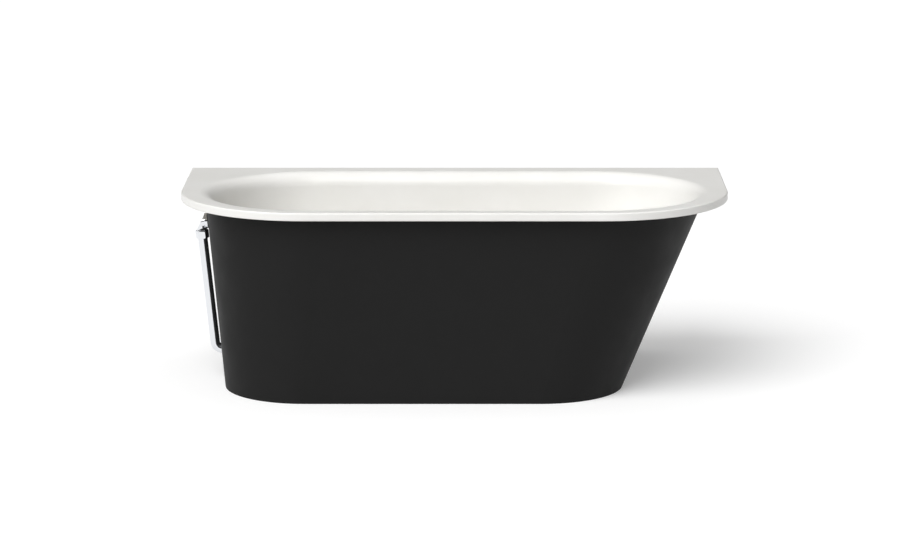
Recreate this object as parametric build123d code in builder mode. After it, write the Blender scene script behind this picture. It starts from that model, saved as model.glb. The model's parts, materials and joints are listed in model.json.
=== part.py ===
from build123d import *
from math import atan, cos, radians, sin
import os

os.makedirs("parts", exist_ok=True)

# Stone resin bathtub for a wall: a white basin with a rolled rim on a black outer skirt, with an exposed
# overflow pipe at the left end, a press-to-close waste, a shallow trap and four levelling feet.
# Millimetres. The origin is on the floor, under the middle of the rim. +X is the sloped backrest end,
# -Y is the rounded front, +Y is the wall and +Z is up.

# Rim
RIM_LENGTH = 1700.0
RIM_WIDTH = 800.0
RIM_HEIGHT = 600.0
RIM_THICKNESS = 25.0
RIM_CORNER = 400.0
RIM_TOP_ROUND = 5.0
RIM_UNDER_ROUND = 3.0

# Basin, with its sizes at the plane of the rim's top before the edge is rolled
OPENING_LEFT = 103.0
OPENING_RIGHT = 92.0
OPENING_FRONT = 76.0
OPENING_BACK = 108.0
OPENING_ROLL = 45.0
BASIN_FLOOR_HEIGHT = 160.0
BASIN_WALL = 12.0
BASIN_FLOOR_WALL = 15.0
BASIN_SIDE_DRAFT = 43.0
BASIN_FOOT_ROUND = 90.0

# Skirt, a D in plan that tapers from under the rim to the floor
SKIRT_WALL = 10.0
SKIRT_LEFT_SETBACK = 78.0
SKIRT_RIGHT_SETBACK = 78.0
SKIRT_FRONT_SETBACK = 43.0
SKIRT_BACK_SETBACK = 5.0
SKIRT_TOP_CORNER = 335.0
SKIRT_LEFT_TAPER = 58.0
SKIRT_RIGHT_TAPER = 249.0
SKIRT_FRONT_TAPER = 5.0
SKIRT_FLOOR_CORNER = 258.0
SKIRT_RETURN = 45.0

# Overflow, square to the left wall
OVERFLOW_RIM_GAP = 46.0
OVERFLOW_HOLE_RADIUS = 16.5
TAIL_BORE = 12.0
TAIL_CLEARANCE = 0.5
GASKET_THICKNESS = 2.0
ELBOW_FLANGE_RADIUS = 24.0
ELBOW_FLANGE_DEPTH = 10.0
ELBOW_FLANGE_CHAMFER = 1.0
ELBOW_RADIUS = 20.0
ELBOW_LEG_RADIUS = 16.5
ELBOW_LEG_LENGTH = 27.0
ELBOW_BACK_WALL = 4.0
PIPE_GAP = 10.0
COVER_RADIUS = 30.0
COVER_THICKNESS = 5.0
COVER_EDGE_ROUND = 1.5
COVER_SEAT_MARGIN = 1.0
COVER_HOLES = 8
COVER_HOLE_RADIUS = 2.0
COVER_HOLE_CIRCLE = 9.0
SPIDER_HUB = 5.0
SPIDER_ARM = 2.5
SPIDER_ARMS = 3
SPIDER_DEPTH = 9.0
ARM_ROOT = 1.0
SCREW_RADIUS = 2.5
SCREW_HEAD_RADIUS = 5.0
SCREW_HEAD_HEIGHT = 2.5
SCREW_SLOT = 1.2
SCREW_SLOT_DEPTH = 1.0
WALL_PAD_RADIUS = 22.0
BOND_GAP = 0.3

# Overflow tube and its unions
TUBE_RADIUS = 15.0
TUBE_WALL = 1.5
TUBE_BEND = 22.0
TUBE_INSERT = 12.0
UNION_THREAD = 17.5
UNION_THREAD_LENGTH = 18.0
SEAL_CHAMFER = 1.5
UNION_LIP = 3.0
UNION_NUT_FLATS = 36.0
UNION_NUT_LENGTH = 26.0
NUT_CHAMFER = 2.0
GROMMET_RADIUS = 18.0
GROMMET_LIP = 1.5

# Waste
WASTE_X = -500.0
DRAIN_HOLE_RADIUS = 23.0
DRAIN_RECESS_RADIUS = 37.0
DRAIN_RECESS_DEPTH = 3.0
FLANGE_RADIUS = 35.0
FLANGE_THICKNESS = 3.0
FLANGE_TUBE_RADIUS = 21.0
FLANGE_TUBE_WALL = 2.0
FLANGE_TUBE_LENGTH = 40.0
FLANGE_GASKET = 1.0
FLANGE_EDGE_ROUND = 1.0
WASTE_GASKET = 3.0
WASTE_COLLAR_RADIUS = 33.0
WASTE_COLLAR_THICKNESS = 5.0
WASTE_BODY_RADIUS = 26.0
WASTE_BODY_ROUND = 4.0
WASTE_INLET_DROP = 48.0
WASTE_BOSS_LENGTH = 34.0
WASTE_BOSS_RADIUS = 19.0
WASTE_BOSS_MARGIN = 2.0
WASTE_TAIL = 18.0
PIPE_RADIUS = 20.0
PIPE_WALL = 2.0

# Press-to-close plug
PLUG_TRAVEL = 8.7
PLUG_SEAT_GAP = 0.3
PLUG_CAP_RADIUS = 30.0
PLUG_CAP_THICKNESS = 5.0
PLUG_CAP_ROUND = 2.0
PLUG_SEAL_THICKNESS = 1.5
PLUG_SEAL_INNER = 22.0
PLUG_SEAL_OUTER = 27.0
STEM_RADIUS = 4.0
STEM_CLEARANCE = 0.05
STEM_COLLAR_RADIUS = 6.0
STEM_COLLAR_HEIGHT = 4.0
CARTRIDGE_RADIUS = 8.0
CARTRIDGE_BORE = 6.4
CARTRIDGE_LID = 6.0
CARTRIDGE_BASE = 3.0
CARTRIDGE_HUB = 3.0
CARTRIDGE_HUB_HEIGHT = 8.0
CARTRIDGE_ARM = 3.0
CARTRIDGE_ARMS = 4
CARTRIDGE_SINK = 3.0
SPRING_WIRE = 0.5
SPRING_RADIUS = 5.2
SPRING_TURNS = 5
SPRING_LENGTH = 22.0

# Trap and outlet
TRAP_RADIUS = 50.0
TRAP_WALL = 3.0
TRAP_BOTTOM = 11.0
TRAP_NUT_GAP = 2.0
TRAP_ROUND = 2.0
SOCKET_RADIUS = 24.0
SOCKET_LENGTH = 12.0
SOCKET_SEAL = 4.0
SOCKET_NUT_RADIUS = 28.0
SOCKET_NUT_LIP = 3.0
SOCKET_NUT_BACK = 3.0
SOCKET_NUT_RIBS = 12
SOCKET_NUT_RIB = 1.2
DIP_GAP = 11.0
OUTLET_DROP = 19.0
OUTLET_ROOT = 9.0
OUTLET_END_SETBACK = 10.0
REDUCER_RADIUS = 25.0
REDUCER_WALL = 2.5
REDUCER_LENGTH = 60.0
REDUCER_SOCKET = 35.0
REDUCER_STOP = 3.0
CAP_RADIUS = 38.0
CAP_FLANGE = 44.0
CAP_FLANGE_THICKNESS = 4.0
CAP_SEAL = 1.5
CAP_WALL = 3.0
CAP_DEPTH = 8.0

# Levelling feet
FOOT_LEFT_X = -390.0
FOOT_RIGHT_X = 330.0
FOOT_SPREAD = 125.0
PLATE_RADIUS = 35.0
PLATE_THICKNESS = 6.0
FOOT_BOSS_RADIUS = 13.0
FOOT_BOSS_LENGTH = 26.0
STUD_RADIUS = 6.0
THREAD_CLEARANCE = 0.05
STUD_TOP_ROOM = 10.0
STUD_HEX_FLATS = 17.0
STUD_HEX_HEIGHT = 8.0
STUD_HEX_GAP = 4.0
STUD_BALL = 9.0
STUD_BALL_HEIGHT = 6.0
PLATE_SKIN = 4.0
PAD_RADIUS = 30.0
PAD_HEIGHT = 16.0
PAD_FLOOR = 5.0
PAD_PLAY = 0.3
PAD_CHAMFER = 6.0
LOCKNUT_FLATS = 19.0
LOCKNUT_HEIGHT = 8.0

# Places worked out from the sizes above
RIM_UNDER = RIM_HEIGHT - RIM_THICKNESS
OVERFLOW_HEIGHT = RIM_UNDER - OVERFLOW_RIM_GAP - ELBOW_FLANGE_RADIUS
LEFT_SLOPE = SKIRT_LEFT_TAPER / RIM_UNDER
RIGHT_SLOPE = SKIRT_RIGHT_TAPER / RIM_UNDER
TILT = atan(LEFT_SLOPE)
FRONT_Y = -RIM_WIDTH / 2
BACK_Y = RIM_WIDTH / 2
BASIN_Y = (FRONT_Y + OPENING_FRONT + BACK_Y - OPENING_BACK) / 2
BASIN_UNDER = BASIN_FLOOR_HEIGHT - BASIN_FLOOR_WALL
DRAIN_RECESS_Z = BASIN_FLOOR_HEIGHT - DRAIN_RECESS_DEPTH
TUBE_LOW_HEIGHT = BASIN_UNDER - WASTE_INLET_DROP
WASTE_BODY_BOTTOM = TUBE_LOW_HEIGHT - WASTE_BOSS_RADIUS - WASTE_BOSS_MARGIN
TRAP_TOP = WASTE_BODY_BOTTOM - TRAP_NUT_GAP - SOCKET_NUT_LIP - SOCKET_SEAL - SOCKET_LENGTH
DIP_DEPTH = TRAP_TOP - TRAP_BOTTOM - TRAP_WALL - DIP_GAP
OUTLET_HEIGHT = TRAP_TOP - OUTLET_DROP


def keep(builder, name):
    """Name a finished piece and write it to its own file."""
    builder.part.label = name
    export_step(builder.part, f"parts/{name}.step")


def basin_outline(height, grow):
    """Left end, right end and half width of the basin's stadium at a height, grown outwards."""
    depth = RIM_HEIGHT - height
    left = -RIM_LENGTH / 2 + OPENING_LEFT + LEFT_SLOPE * depth - grow
    right = RIM_LENGTH / 2 - OPENING_RIGHT - RIGHT_SLOPE * depth + grow
    draft = BASIN_SIDE_DRAFT * depth / (RIM_HEIGHT - BASIN_FLOOR_HEIGHT)
    half = (RIM_WIDTH - OPENING_FRONT - OPENING_BACK) / 2 - draft + grow
    return left, right, half


def basin_sketch(height, grow):
    """Stadium of the basin's wall at a height."""
    left, right, half = basin_outline(height, grow)
    plane = Plane(((left + right) / 2, BASIN_Y, height))
    with BuildSketch(plane) as profile:
        SlotOverall(right - left, 2 * half)
    return profile.sketch


def skirt_sketch(share, inset, back):
    """D-shaped outline of the skirt, from 0 under the rim to 1 at the floor, set in by the wall."""
    left = -RIM_LENGTH / 2 + SKIRT_LEFT_SETBACK + SKIRT_LEFT_TAPER * share + inset
    right = RIM_LENGTH / 2 - SKIRT_RIGHT_SETBACK - SKIRT_RIGHT_TAPER * share - inset
    front = FRONT_Y + SKIRT_FRONT_SETBACK + SKIRT_FRONT_TAPER * share + inset
    corner = SKIRT_TOP_CORNER + (SKIRT_FLOOR_CORNER - SKIRT_TOP_CORNER) * share - inset
    with BuildSketch(Plane.XY.offset(RIM_UNDER * (1 - share))) as profile:
        with BuildLine():
            Line((left, back), (left, front + corner))
            RadiusArc((left, front + corner), (left + corner, front), -corner)
            Line((left + corner, front), (right - corner, front))
            RadiusArc((right - corner, front), (right, front + corner), -corner)
            Line((right, front + corner), (right, back))
            Line((right, back), (left, back))
        make_face()
    return profile.sketch


def skirt_x(height):
    """Outer face of the skirt's left wall at a height."""
    return -RIM_LENGTH / 2 + SKIRT_LEFT_SETBACK + LEFT_SLOPE * (RIM_UNDER - height)


# Frame of the overflow on the skirt's left wall: local Z points out of the wall and local X down along it
OVERFLOW_PLANE = Plane(
    origin=(skirt_x(OVERFLOW_HEIGHT), BASIN_Y, OVERFLOW_HEIGHT),
    x_dir=(sin(TILT), 0, -cos(TILT)),
    z_dir=(-cos(TILT), 0, -sin(TILT)),
)
BASIN_FACE = (basin_outline(OVERFLOW_HEIGHT, 0)[0] - skirt_x(OVERFLOW_HEIGHT)) * cos(TILT)
SKIRT_INNER_FACE = SKIRT_WALL * cos(TILT)
TUBE_OFFSET = PIPE_GAP + TUBE_RADIUS


def tube_point(down):
    """Point on the overflow tube's straight axis, a distance down the wall from the overflow."""
    return OVERFLOW_PLANE.from_local_coords(Vector(down, 0, TUBE_OFFSET))


def tube_plane(down):
    """Plane square to the overflow tube's straight axis, facing down it."""
    return Plane(origin=tube_point(down), z_dir=OVERFLOW_PLANE.x_dir)


GROMMET_PLANE = Plane(
    origin=(skirt_x(TUBE_LOW_HEIGHT), BASIN_Y, TUBE_LOW_HEIGHT),
    x_dir=OVERFLOW_PLANE.x_dir,
    z_dir=OVERFLOW_PLANE.z_dir,
)


# Basin with its rim
with BuildPart() as cavity:
    add(basin_sketch(BASIN_FLOOR_HEIGHT, 0))
    add(basin_sketch(RIM_HEIGHT, 0))
    loft(ruled=True)
    fillet(cavity.edges().group_by(Axis.Z)[0], BASIN_FOOT_ROUND)

with BuildPart() as basin:
    add(basin_sketch(BASIN_UNDER, BASIN_WALL))
    add(basin_sketch(RIM_HEIGHT, BASIN_WALL))
    loft(ruled=True)
    fillet(basin.edges().group_by(Axis.Z)[0], BASIN_FOOT_ROUND + BASIN_WALL)
    # pad behind the overflow hole, up to the skirt
    with BuildSketch(OVERFLOW_PLANE.offset(-SKIRT_INNER_FACE - BOND_GAP)):
        Circle(WALL_PAD_RADIUS)
    extrude(amount=-(BASIN_FACE - SKIRT_INNER_FACE - BOND_GAP))
    with BuildSketch(Plane.XY.offset(RIM_UNDER)) as rim_outline:
        Rectangle(RIM_LENGTH, RIM_WIDTH)
        fillet(rim_outline.vertices().group_by(Axis.Y)[0], RIM_CORNER)
    extrude(amount=RIM_THICKNESS)
    add(cavity.part, mode=Mode.SUBTRACT)
    top = basin.faces().sort_by(Axis.Z)[-1]
    fillet(top.inner_wires()[0].edges(), OPENING_ROLL)
    top = basin.faces().sort_by(Axis.Z)[-1]
    fillet(top.outer_wire().edges(), RIM_TOP_ROUND)
    under = basin.faces().filter_by_position(Axis.Z, RIM_UNDER, RIM_UNDER).sort_by(SortBy.AREA)[-1]
    fillet(under.outer_wire().edges(), RIM_UNDER_ROUND)
    # overflow hole with a flat seat for its cover
    with BuildSketch(OVERFLOW_PLANE):
        Circle(OVERFLOW_HOLE_RADIUS)
    extrude(amount=-(BASIN_FACE + OVERFLOW_HOLE_RADIUS), mode=Mode.SUBTRACT)
    with BuildSketch(OVERFLOW_PLANE.offset(-BASIN_FACE)):
        Circle(COVER_RADIUS + COVER_SEAT_MARGIN)
    extrude(amount=-COVER_RADIUS, mode=Mode.SUBTRACT)
    # drain hole with a recess for its flange
    with Locations((WASTE_X, BASIN_Y, BASIN_FLOOR_HEIGHT)):
        CounterBoreHole(DRAIN_HOLE_RADIUS, DRAIN_RECESS_RADIUS, DRAIN_RECESS_DEPTH, BASIN_FLOOR_WALL)
keep(basin, "basin_rim")


# Skirt: three walls under the rim, open to the wall behind between two short returns
with BuildPart() as skirt_inside:
    add(skirt_sketch(0, SKIRT_WALL, BACK_Y - SKIRT_BACK_SETBACK - SKIRT_WALL))
    add(skirt_sketch(1, SKIRT_WALL, BACK_Y - SKIRT_BACK_SETBACK - SKIRT_WALL))
    loft(ruled=True)

with BuildPart() as skirt:
    add(skirt_sketch(0, 0, BACK_Y - SKIRT_BACK_SETBACK))
    add(skirt_sketch(1, 0, BACK_Y - SKIRT_BACK_SETBACK))
    loft(ruled=True)
    add(skirt_inside.part, mode=Mode.SUBTRACT)
    left_top = -RIM_LENGTH / 2 + SKIRT_LEFT_SETBACK + SKIRT_RETURN
    right_top = RIM_LENGTH / 2 - SKIRT_RIGHT_SETBACK - SKIRT_RETURN
    with BuildSketch(Plane.XZ.offset(-BASIN_Y)):
        Polygon(
            (left_top, RIM_UNDER),
            (left_top + SKIRT_LEFT_TAPER, 0),
            (right_top - SKIRT_RIGHT_TAPER, 0),
            (right_top, RIM_UNDER),
            align=None,
        )
    extrude(amount=-RIM_WIDTH, mode=Mode.SUBTRACT)
    with BuildSketch(OVERFLOW_PLANE):
        Circle(OVERFLOW_HOLE_RADIUS)
    extrude(amount=-2 * SKIRT_WALL, mode=Mode.SUBTRACT)
    with BuildSketch(GROMMET_PLANE):
        Circle(GROMMET_RADIUS)
    extrude(amount=-2 * SKIRT_WALL, mode=Mode.SUBTRACT)
keep(skirt, "skirt")


# Overflow elbow: a flange and tail through both walls, and a leg down to the union, cut off aslant at the back
elbow_out = TUBE_OFFSET + ELBOW_LEG_RADIUS


def behind_elbow(inset):
    """Wedge beyond the elbow's slanted back, or set in from it by a wall."""
    side = Plane(OVERFLOW_PLANE.origin, x_dir=OVERFLOW_PLANE.x_dir, z_dir=(0, 1, 0))
    with BuildPart() as wedge:
        with BuildSketch(side):
            # local X down the wall and local Y out of it
            Polygon(
                (-ELBOW_RADIUS, GASKET_THICKNESS + ELBOW_FLANGE_DEPTH - inset),
                (ELBOW_LEG_LENGTH, elbow_out - inset),
                (ELBOW_LEG_LENGTH, 2 * elbow_out),
                (-elbow_out, 2 * elbow_out),
                (-elbow_out, GASKET_THICKNESS + ELBOW_FLANGE_DEPTH - inset),
                align=None,
            )
        extrude(amount=ELBOW_FLANGE_RADIUS, both=True)
    return wedge.part


# Waterway inside the elbow, one wall in from its slanted back
with BuildPart() as waterway:
    with BuildSketch(OVERFLOW_PLANE.offset(-BASIN_FACE - GASKET_THICKNESS)):
        Circle(TAIL_BORE)
    extrude(amount=BASIN_FACE + GASKET_THICKNESS + TUBE_OFFSET)
    with BuildSketch(tube_plane(0)):
        Circle(TUBE_RADIUS - TUBE_WALL)
    extrude(amount=ELBOW_LEG_LENGTH + UNION_THREAD_LENGTH)
    add(behind_elbow(ELBOW_BACK_WALL), mode=Mode.SUBTRACT)

with BuildPart() as elbow:
    with BuildSketch(OVERFLOW_PLANE.offset(GASKET_THICKNESS)):
        Circle(ELBOW_FLANGE_RADIUS)
    extrude(amount=ELBOW_FLANGE_DEPTH)
    chamfer(elbow.edges().filter_by(GeomType.CIRCLE), ELBOW_FLANGE_CHAMFER)
    with BuildSketch(OVERFLOW_PLANE.offset(GASKET_THICKNESS)):
        Circle(ELBOW_RADIUS)
    extrude(amount=elbow_out - GASKET_THICKNESS)
    with BuildSketch(tube_plane(-ELBOW_RADIUS)):
        Circle(ELBOW_LEG_RADIUS)
    extrude(amount=ELBOW_RADIUS + ELBOW_LEG_LENGTH)
    add(behind_elbow(0), mode=Mode.SUBTRACT)
    # thread for the union nut, below the leg
    with BuildSketch(tube_plane(ELBOW_LEG_LENGTH)):
        Circle(UNION_THREAD)
    extrude(amount=UNION_THREAD_LENGTH)
    # tail through the walls, with three arms inside that hold the cover's screw
    with BuildSketch(OVERFLOW_PLANE.offset(GASKET_THICKNESS)):
        Circle(OVERFLOW_HOLE_RADIUS - TAIL_CLEARANCE)
    extrude(amount=-(BASIN_FACE + 2 * GASKET_THICKNESS))
    add(waterway.part, mode=Mode.SUBTRACT)
    # seat of the tube's upper end
    with BuildSketch(tube_plane(ELBOW_LEG_LENGTH + UNION_THREAD_LENGTH)):
        Circle(TUBE_RADIUS)
    extrude(amount=-TUBE_INSERT, mode=Mode.SUBTRACT)
    with BuildSketch(OVERFLOW_PLANE.offset(-BASIN_FACE - GASKET_THICKNESS)) as spider:
        Circle(SPIDER_HUB)
        with PolarLocations(TAIL_BORE / 2, SPIDER_ARMS):
            Rectangle(TAIL_BORE + ARM_ROOT, SPIDER_ARM)
        Circle(SCREW_RADIUS, mode=Mode.SUBTRACT)
    extrude(amount=SPIDER_DEPTH)
keep(elbow, "overflow_elbow")


def ring(plane, outer, inner, thickness):
    """Flat ring that stands on a plane."""
    with BuildPart() as washer:
        with BuildSketch(plane):
            Circle(outer)
            Circle(inner, mode=Mode.SUBTRACT)
        extrude(amount=thickness)
    return washer


overflow_gasket_out = ring(OVERFLOW_PLANE, ELBOW_FLANGE_RADIUS, OVERFLOW_HOLE_RADIUS, GASKET_THICKNESS)
keep(overflow_gasket_out, "overflow_gasket_out")
cover_seat = OVERFLOW_PLANE.offset(-BASIN_FACE)
overflow_gasket_in = ring(cover_seat, COVER_RADIUS, OVERFLOW_HOLE_RADIUS, -GASKET_THICKNESS)
keep(overflow_gasket_in, "overflow_gasket_in")

# Cover plate inside the basin, with a ring of holes and a slotted screw in its middle
cover_back = cover_seat.offset(-GASKET_THICKNESS)
with BuildPart() as cover:
    with BuildSketch(cover_back):
        Circle(COVER_RADIUS)
        Circle(SCREW_RADIUS, mode=Mode.SUBTRACT)
        with PolarLocations(COVER_HOLE_CIRCLE, COVER_HOLES):
            Circle(COVER_HOLE_RADIUS, mode=Mode.SUBTRACT)
    extrude(amount=-COVER_THICKNESS)
    cover_outwards = Axis(cover_back.origin, -cover_back.z_dir)
    cover_front = cover.faces().filter_by(GeomType.PLANE).sort_by(cover_outwards)[-1]
    fillet(cover_front.outer_wire().edges(), COVER_EDGE_ROUND)
keep(cover, "overflow_cover")

with BuildPart() as cover_screw:
    with BuildSketch(cover_back.offset(-COVER_THICKNESS)):
        Circle(SCREW_HEAD_RADIUS)
    extrude(amount=-SCREW_HEAD_HEIGHT)
    with BuildSketch(cover_back.offset(-COVER_THICKNESS - SCREW_HEAD_HEIGHT)):
        Rectangle(2 * SCREW_HEAD_RADIUS, SCREW_SLOT)
    extrude(amount=SCREW_SLOT_DEPTH, mode=Mode.SUBTRACT)
    with BuildSketch(cover_back.offset(-COVER_THICKNESS)):
        Circle(SCREW_RADIUS)
    extrude(amount=COVER_THICKNESS + SPIDER_DEPTH)
keep(cover_screw, "overflow_screw")


def union_nut(shoulder):
    """Six-sided nut over a union thread, from its shoulder out over the seal to a lip on the tube."""
    corner = UNION_NUT_FLATS / 2 / cos(radians(30))
    with BuildPart() as nut:
        with BuildSketch(shoulder):
            Circle(corner)
        extrude(amount=UNION_NUT_LENGTH)
        chamfer(nut.edges(), NUT_CHAMFER)
        with BuildSketch(shoulder):
            RegularPolygon(UNION_NUT_FLATS / 2, 6, major_radius=False)
        extrude(amount=UNION_NUT_LENGTH, mode=Mode.INTERSECT)
        with BuildSketch(shoulder):
            Circle(UNION_THREAD)
        extrude(amount=UNION_NUT_LENGTH - UNION_LIP, mode=Mode.SUBTRACT)
        with BuildSketch(shoulder):
            Circle(TUBE_RADIUS)
        extrude(amount=UNION_NUT_LENGTH, mode=Mode.SUBTRACT)
    return nut


def union_seal(shoulder):
    """Cone ring squeezed between the end of the thread and the nut's lip."""
    with BuildPart() as seal:
        with BuildSketch(shoulder.offset(UNION_THREAD_LENGTH)):
            Circle(UNION_THREAD)
        extrude(amount=UNION_NUT_LENGTH - UNION_LIP - UNION_THREAD_LENGTH)
        chamfer(seal.edges().sort_by(Axis(shoulder.origin, shoulder.z_dir))[:1], SEAL_CHAMFER)
        with BuildSketch(shoulder.offset(UNION_THREAD_LENGTH)):
            Circle(TUBE_RADIUS)
        extrude(amount=UNION_NUT_LENGTH, mode=Mode.SUBTRACT)
    return seal


boss_end = WASTE_X - WASTE_BODY_RADIUS - WASTE_BOSS_LENGTH
boss_shoulder = Plane(origin=(boss_end + UNION_THREAD_LENGTH, BASIN_Y, TUBE_LOW_HEIGHT), z_dir=(-1, 0, 0))
keep(union_nut(tube_plane(ELBOW_LEG_LENGTH)), "overflow_nut_top")
keep(union_seal(tube_plane(ELBOW_LEG_LENGTH)), "overflow_seal_top")
keep(union_nut(boss_shoulder), "overflow_nut_low")
keep(union_seal(boss_shoulder), "overflow_seal_low")

# Overflow tube: down along the skirt, round one bend and level to the waste body
tube_start = ELBOW_LEG_LENGTH + UNION_THREAD_LENGTH - TUBE_INSERT
corner_down = (tube_point(0).Z - TUBE_LOW_HEIGHT) / cos(TILT)
tube_end = Vector(boss_end + TUBE_INSERT, BASIN_Y, TUBE_LOW_HEIGHT)
with BuildPart() as tube:
    with BuildLine():
        FilletPolyline(tube_point(tube_start), tube_point(corner_down), tube_end, radius=TUBE_BEND)
    with BuildSketch(tube_plane(tube_start)):
        Circle(TUBE_RADIUS)
        Circle(TUBE_RADIUS - TUBE_WALL, mode=Mode.SUBTRACT)
    sweep()
keep(tube, "overflow_tube")

# Rubber ring that closes the skirt's hole round the tube, with a lip on each face of the wall
with BuildPart() as grommet:
    with BuildSketch(GROMMET_PLANE.offset(GROMMET_LIP)):
        Circle(GROMMET_RADIUS + GROMMET_LIP)
    extrude(amount=-GROMMET_LIP)
    with BuildSketch(GROMMET_PLANE):
        Circle(GROMMET_RADIUS)
    extrude(amount=-SKIRT_INNER_FACE)
    with BuildSketch(GROMMET_PLANE.offset(-SKIRT_INNER_FACE)):
        Circle(GROMMET_RADIUS + GROMMET_LIP)
    extrude(amount=-GROMMET_LIP)
    with BuildSketch(Plane(origin=GROMMET_PLANE.origin, z_dir=(1, 0, 0))):
        Circle(TUBE_RADIUS)
    extrude(amount=2 * GROMMET_RADIUS, both=True, mode=Mode.SUBTRACT)
keep(grommet, "skirt_grommet")


def level(height):
    """Horizontal plane centred on the drain."""
    return Plane((WASTE_X, BASIN_Y, height))


# Waste: a flange in the basin's recess, screwed into a body under the floor, with a rubber ring on each side
flange_under = DRAIN_RECESS_Z + FLANGE_GASKET
flange_top = flange_under + FLANGE_THICKNESS
collar_top = BASIN_UNDER - WASTE_GASKET
waste_gasket_top = ring(level(DRAIN_RECESS_Z), FLANGE_RADIUS, FLANGE_TUBE_RADIUS, FLANGE_GASKET)
keep(waste_gasket_top, "waste_gasket_top")
waste_gasket_bottom = ring(level(collar_top), WASTE_COLLAR_RADIUS, FLANGE_TUBE_RADIUS, WASTE_GASKET)
keep(waste_gasket_bottom, "waste_gasket_bottom")

cartridge_top = flange_top - CARTRIDGE_SINK
hub_top = cartridge_top - CARTRIDGE_SINK
flange_bore = FLANGE_TUBE_RADIUS - FLANGE_TUBE_WALL
with BuildPart() as waste_flange:
    with BuildSketch(level(flange_under)):
        Circle(FLANGE_RADIUS)
    extrude(amount=FLANGE_THICKNESS)
    fillet(waste_flange.edges().group_by(Axis.Z)[-1], FLANGE_EDGE_ROUND)
    with BuildSketch(level(flange_under)):
        Circle(FLANGE_TUBE_RADIUS)
    extrude(amount=-FLANGE_TUBE_LENGTH)
    with BuildSketch(level(flange_top)):
        Circle(flange_bore)
    extrude(amount=-FLANGE_THICKNESS - FLANGE_TUBE_LENGTH, mode=Mode.SUBTRACT)
    with BuildSketch(level(hub_top)):
        Circle(CARTRIDGE_RADIUS + CARTRIDGE_HUB)
        with PolarLocations(flange_bore / 2, CARTRIDGE_ARMS):
            Rectangle(flange_bore + ARM_ROOT, CARTRIDGE_ARM)
        Circle(CARTRIDGE_RADIUS, mode=Mode.SUBTRACT)
    extrude(amount=-CARTRIDGE_HUB_HEIGHT)
keep(waste_flange, "waste_flange")

thread_end = flange_under - FLANGE_TUBE_LENGTH
tail_end = WASTE_BODY_BOTTOM - WASTE_TAIL
with BuildPart() as waste_body:
    with BuildSketch(level(collar_top)):
        Circle(WASTE_COLLAR_RADIUS)
    extrude(amount=-WASTE_COLLAR_THICKNESS)
    with BuildSketch(level(collar_top)):
        Circle(WASTE_BODY_RADIUS)
    extrude(amount=WASTE_BODY_BOTTOM - collar_top)
    fillet(waste_body.edges().group_by(Axis.Z)[0], WASTE_BODY_ROUND)
    with BuildSketch(level(collar_top)):
        Circle(PIPE_RADIUS)
    extrude(amount=tail_end - collar_top)
    with BuildSketch(boss_shoulder):
        Circle(WASTE_BOSS_RADIUS)
    extrude(amount=-(WASTE_BOSS_LENGTH + WASTE_BODY_RADIUS - UNION_THREAD_LENGTH))
    with BuildSketch(boss_shoulder):
        Circle(UNION_THREAD)
    extrude(amount=UNION_THREAD_LENGTH)
    with BuildSketch(level(collar_top)):
        Circle(FLANGE_TUBE_RADIUS)
    extrude(amount=thread_end - collar_top, mode=Mode.SUBTRACT)
    with BuildSketch(level(collar_top)):
        Circle(PIPE_RADIUS - PIPE_WALL)
    extrude(amount=tail_end - collar_top, mode=Mode.SUBTRACT)
    with BuildSketch(boss_shoulder.offset(UNION_THREAD_LENGTH)):
        Circle(TUBE_RADIUS)
    extrude(amount=-TUBE_INSERT, mode=Mode.SUBTRACT)
    with BuildSketch(boss_shoulder.offset(UNION_THREAD_LENGTH)):
        Circle(TUBE_RADIUS - TUBE_WALL)
    extrude(amount=-(WASTE_BOSS_LENGTH + WASTE_BODY_RADIUS), mode=Mode.SUBTRACT)
keep(waste_body, "waste_body")

# Press-to-close plug, standing open: cap, seal and stem move together, and the spring pushes up on the stem
seal_under = flange_top + PLUG_SEAT_GAP + PLUG_TRAVEL
cap_under = seal_under + PLUG_SEAL_THICKNESS
collar_stop = cartridge_top - CARTRIDGE_LID - PLUG_SEAT_GAP
collar_under = collar_stop - STEM_COLLAR_HEIGHT
spring_seat = collar_under - PLUG_SEAT_GAP - SPRING_LENGTH
plug_seal = ring(level(seal_under), PLUG_SEAL_OUTER, PLUG_SEAL_INNER, PLUG_SEAL_THICKNESS)
keep(plug_seal, "plug_seal")

with BuildPart() as plug_cap:
    with BuildSketch(level(cap_under)):
        Circle(PLUG_CAP_RADIUS)
    extrude(amount=PLUG_CAP_THICKNESS)
    fillet(plug_cap.edges().group_by(Axis.Z)[-1], PLUG_CAP_ROUND)
keep(plug_cap, "plug_cap")

with BuildPart() as stem:
    with BuildSketch(level(cap_under)):
        Circle(STEM_RADIUS)
    extrude(amount=collar_under - cap_under)
    with BuildSketch(level(collar_stop)):
        Circle(STEM_COLLAR_RADIUS)
    extrude(amount=-STEM_COLLAR_HEIGHT)
keep(stem, "plug_stem")

with BuildPart() as cartridge:
    with BuildSketch(level(cartridge_top)):
        Circle(CARTRIDGE_RADIUS)
    extrude(amount=spring_seat - CARTRIDGE_BASE - cartridge_top)
    with BuildSketch(level(cartridge_top - CARTRIDGE_LID)):
        Circle(CARTRIDGE_BORE)
    extrude(amount=spring_seat - cartridge_top + CARTRIDGE_LID, mode=Mode.SUBTRACT)
    with BuildSketch(level(cartridge_top)):
        Circle(STEM_RADIUS + STEM_CLEARANCE)
    extrude(amount=-CARTRIDGE_LID, mode=Mode.SUBTRACT)
keep(cartridge, "plug_cartridge")

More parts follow.
